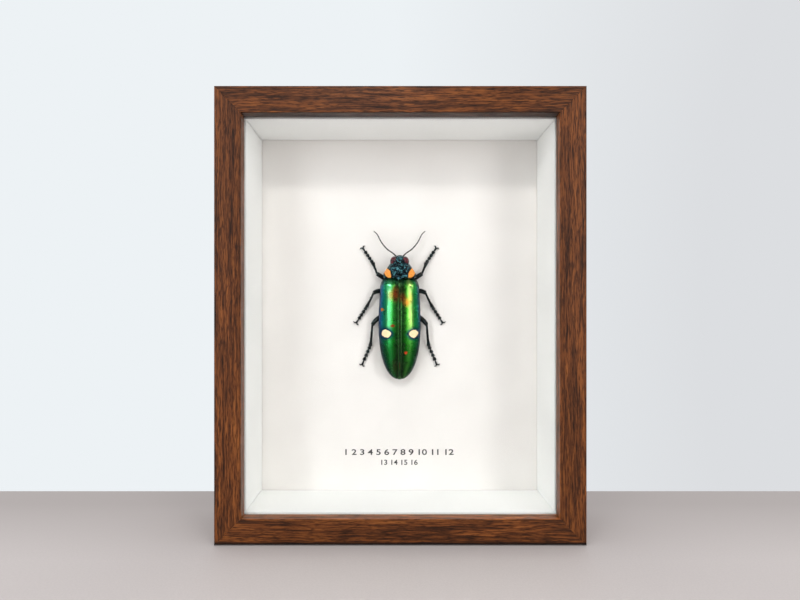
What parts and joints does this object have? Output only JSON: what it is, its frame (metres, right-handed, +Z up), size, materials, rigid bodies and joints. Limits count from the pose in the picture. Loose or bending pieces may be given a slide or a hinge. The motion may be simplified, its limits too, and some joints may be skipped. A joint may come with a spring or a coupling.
{
  "type": "framed jewel beetle",
  "caption": "Dried metallic green beetle, legs spread, glued to white card behind glass in a deep mitred wooden box frame that stands on its bottom rail or hangs.",
  "frame": {"origin": "middle of the frame's footprint, on the surface that its bottom rail stands on", "axes": "+Z up towards the beetle's head, +X to the right as seen through the glass, +Y out of the back; the glass faces -Y"},
  "size_m": [0.176, 0.05, 0.2172],
  "materials": {
    "wood": "dark walnut stain, satin",
    "glass": "clear polished sheet",
    "strip": "white foam-centred card, matt",
    "card": "warm white card, matt",
    "board": "smooth hardboard",
    "steel": "zinc plated",
    "wing_case": "metallic green chitin",
    "chitin": "dark metallic chitin",
    "glue": "clear set glue"
  },
  "bodies": {
    "root": {"rail_top": "wood", "rail_bottom": "wood", "stile_left": "wood", "stile_right": "wood", "glass": "glass", "spacer_top": "strip", "spacer_bottom": "strip", "spacer_left": "strip", "spacer_right": "strip", "mount_card": "card", "back_board": "board", "tab_top_left": "steel", "tab_top_right": "steel", "tab_bottom_left": "steel", "tab_bottom_right": "steel", "tab_left_lower": "steel", "tab_left_middle": "steel", "tab_left_upper": "steel", "tab_right_lower": "steel", "tab_right_middle": "steel", "tab_right_upper": "steel", "hanger": "steel", "nail_left": "steel", "nail_right": "steel", "glue_pad": "glue", "head": "chitin", "pronotum": "wing_case", "thorax_abdomen": "chitin", "elytron_left": "wing_case", "elytron_right": "wing_case", "antenna_left": "chitin", "antenna_right": "chitin", "leg_front_left": "chitin", "leg_front_right": "chitin", "leg_middle_left": "chitin", "leg_middle_right": "chitin", "leg_hind_left": "chitin", "leg_hind_right": "chitin"}
  },
  "joints": []
}
